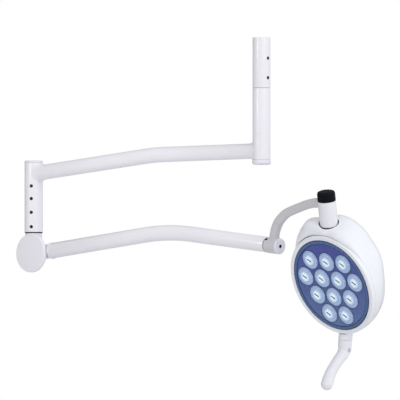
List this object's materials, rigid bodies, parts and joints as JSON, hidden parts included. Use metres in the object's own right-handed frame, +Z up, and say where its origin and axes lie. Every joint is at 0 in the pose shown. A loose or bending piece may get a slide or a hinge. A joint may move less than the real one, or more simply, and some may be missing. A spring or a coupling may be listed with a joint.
{
  "type": "ceiling surgical light",
  "caption": "Ceiling-hung surgical light: drop tube, two folding arm tubes with swivel and tilt joints, cranked yoke, round multi-lens head and a pull-off handle.",
  "frame": {"origin": "centre of the open top end of the ceiling tube", "axes": "+Z up along the ceiling tube, -X along the upper arm in the stored pose, -Y the side the lamp's face looks to"},
  "size_m": [1.3146, 0.2198, 0.9954],
  "materials": {
    "white_paint": "satin white powder coat",
    "white_casting": "satin white paint over castings",
    "white_shell": "glossy white moulding",
    "handle_white": "off-white, satin",
    "grey_casting": "satin grey paint",
    "black_plastic": "black, satin",
    "rubber_seal": "black rubber",
    "bare_steel": "turned",
    "dark_steel": "blackened",
    "bronze_bush": "sintered bronze",
    "nylon_sleeve": "natural nylon",
    "blue_panel": "glossy dark blue with a paler rim",
    "lens_clear": "moulded clear lens, ice blue, faceted",
    "board_white": "white circuit board",
    "sink_alloy": "plain extruded",
    "button_grey": "grey"
  },
  "bodies": {
    "ceiling_drop": {"ceiling_tube": "white_paint", "ceiling_screw_upper": "dark_steel", "ceiling_screw_lower": "dark_steel", "swivel_spindle": "bare_steel", "spindle_nut": "bare_steel"},
    "upper_arm": {"swivel_bush": "bronze_bush", "upper_sleeve": "white_paint", "sleeve_end_cap": "white_casting", "upper_arm_tube": "white_paint", "elbow_post": "white_paint", "elbow_post_cap": "white_casting", "brake_screw_1": "dark_steel", "brake_screw_2": "dark_steel", "brake_screw_3": "dark_steel", "brake_screw_4": "dark_steel", "elbow_bush": "bronze_bush", "brake_sleeve": "nylon_sleeve"},
    "elbow_bracket": {"elbow_spindle": "bare_steel", "elbow_circlip": "dark_steel", "elbow_thrust_ring": "black_plastic", "knuckle_fork": "white_casting", "knuckle_pin": "bare_steel", "hub_cover_front": "white_paint", "hub_cap_rear": "white_casting"},
    "lower_arm": {"arm_root": "white_casting", "knuckle_bush": "bronze_bush", "lower_arm_tube": "white_paint", "balance_spring": "bare_steel", "roll_spindle": "dark_steel"},
    "plunger": {"spring_plunger": "bare_steel"},
    "yoke": {"yoke_casting": "grey_casting", "yoke_end_cap": "white_casting", "yoke_cap_screw": "dark_steel", "yoke_bush": "bronze_bush", "roll_stop_screw": "dark_steel", "neck_tube": "white_paint", "neck_cap": "black_plastic", "neck_bush": "bronze_bush"},
    "lamp_head": {"head_spindle": "bare_steel", "neck_gasket": "rubber_seal", "rear_housing": "white_shell", "front_bezel": "white_shell", "lens_panel": "blue_panel", "lens_01": "lens_clear", "lens_02": "lens_clear", "lens_03": "lens_clear", "lens_04": "lens_clear", "lens_05": "lens_clear", "lens_06": "lens_clear", "lens_07": "lens_clear", "lens_08": "lens_clear", "lens_09": "lens_clear", "lens_10": "lens_clear", "lens_11": "lens_clear", "lens_12": "lens_clear", "led_board": "board_white", "heat_sink": "sink_alloy", "handle_socket": "handle_white"},
    "handle": {"handle_grip": "handle_white"},
    "button": {"release_button": "button_grey"}
  },
  "joints": [
    {"name": "ceiling_swivel", "type": "hinge", "parent": "ceiling_drop", "child": "upper_arm", "pos_m": [0, 0, -0.142], "axis": [0, 0, 1], "range_deg": [-170, 170]},
    {"name": "elbow_swivel", "type": "hinge", "parent": "upper_arm", "child": "elbow_bracket", "pos_m": [-0.869, 0, -0.529], "axis": [0, 0, 1], "range_deg": [-170, 170]},
    {"name": "knuckle_tilt", "type": "hinge", "parent": "elbow_bracket", "child": "lower_arm", "pos_m": [-0.856, 0, -0.589], "axis": [0, -1, 0], "range_deg": [-50, 10]},
    {"name": "plunger_slide", "type": "slide", "parent": "lower_arm", "child": "plunger", "axis": [0.9947, 0, 0.103], "range_m": [-0.016, 0.0035], "deforming": ["balance_spring"]},
    {"name": "yoke_roll", "type": "hinge", "parent": "lower_arm", "child": "yoke", "pos_m": [0.05, 0, -0.587], "axis": [0.9925, 0, -0.1219], "range_deg": [-95, 125]},
    {"name": "head_swivel", "type": "hinge", "parent": "yoke", "child": "lamp_head", "pos_m": [0.2634, 0, -0.6132], "axis": [0.1174, -0.2672, 0.9564], "range_deg": [-170, 170]},
    {"name": "handle_slide", "type": "slide", "parent": "lamp_head", "child": "handle", "axis": [-0.1219, 0.0175, -0.9924], "range_m": [0, 0.03]},
    {"name": "button_press", "type": "slide", "parent": "handle", "child": "button", "axis": [-0.9925, 0, 0.1219], "range_m": [0, 0.0025], "stiffness_N_per_m": 300}
  ],
  "couplings": [
    {"joint": "plunger_slide", "follows": "knuckle_tilt", "m_per_rad": 0.018}
  ]
}
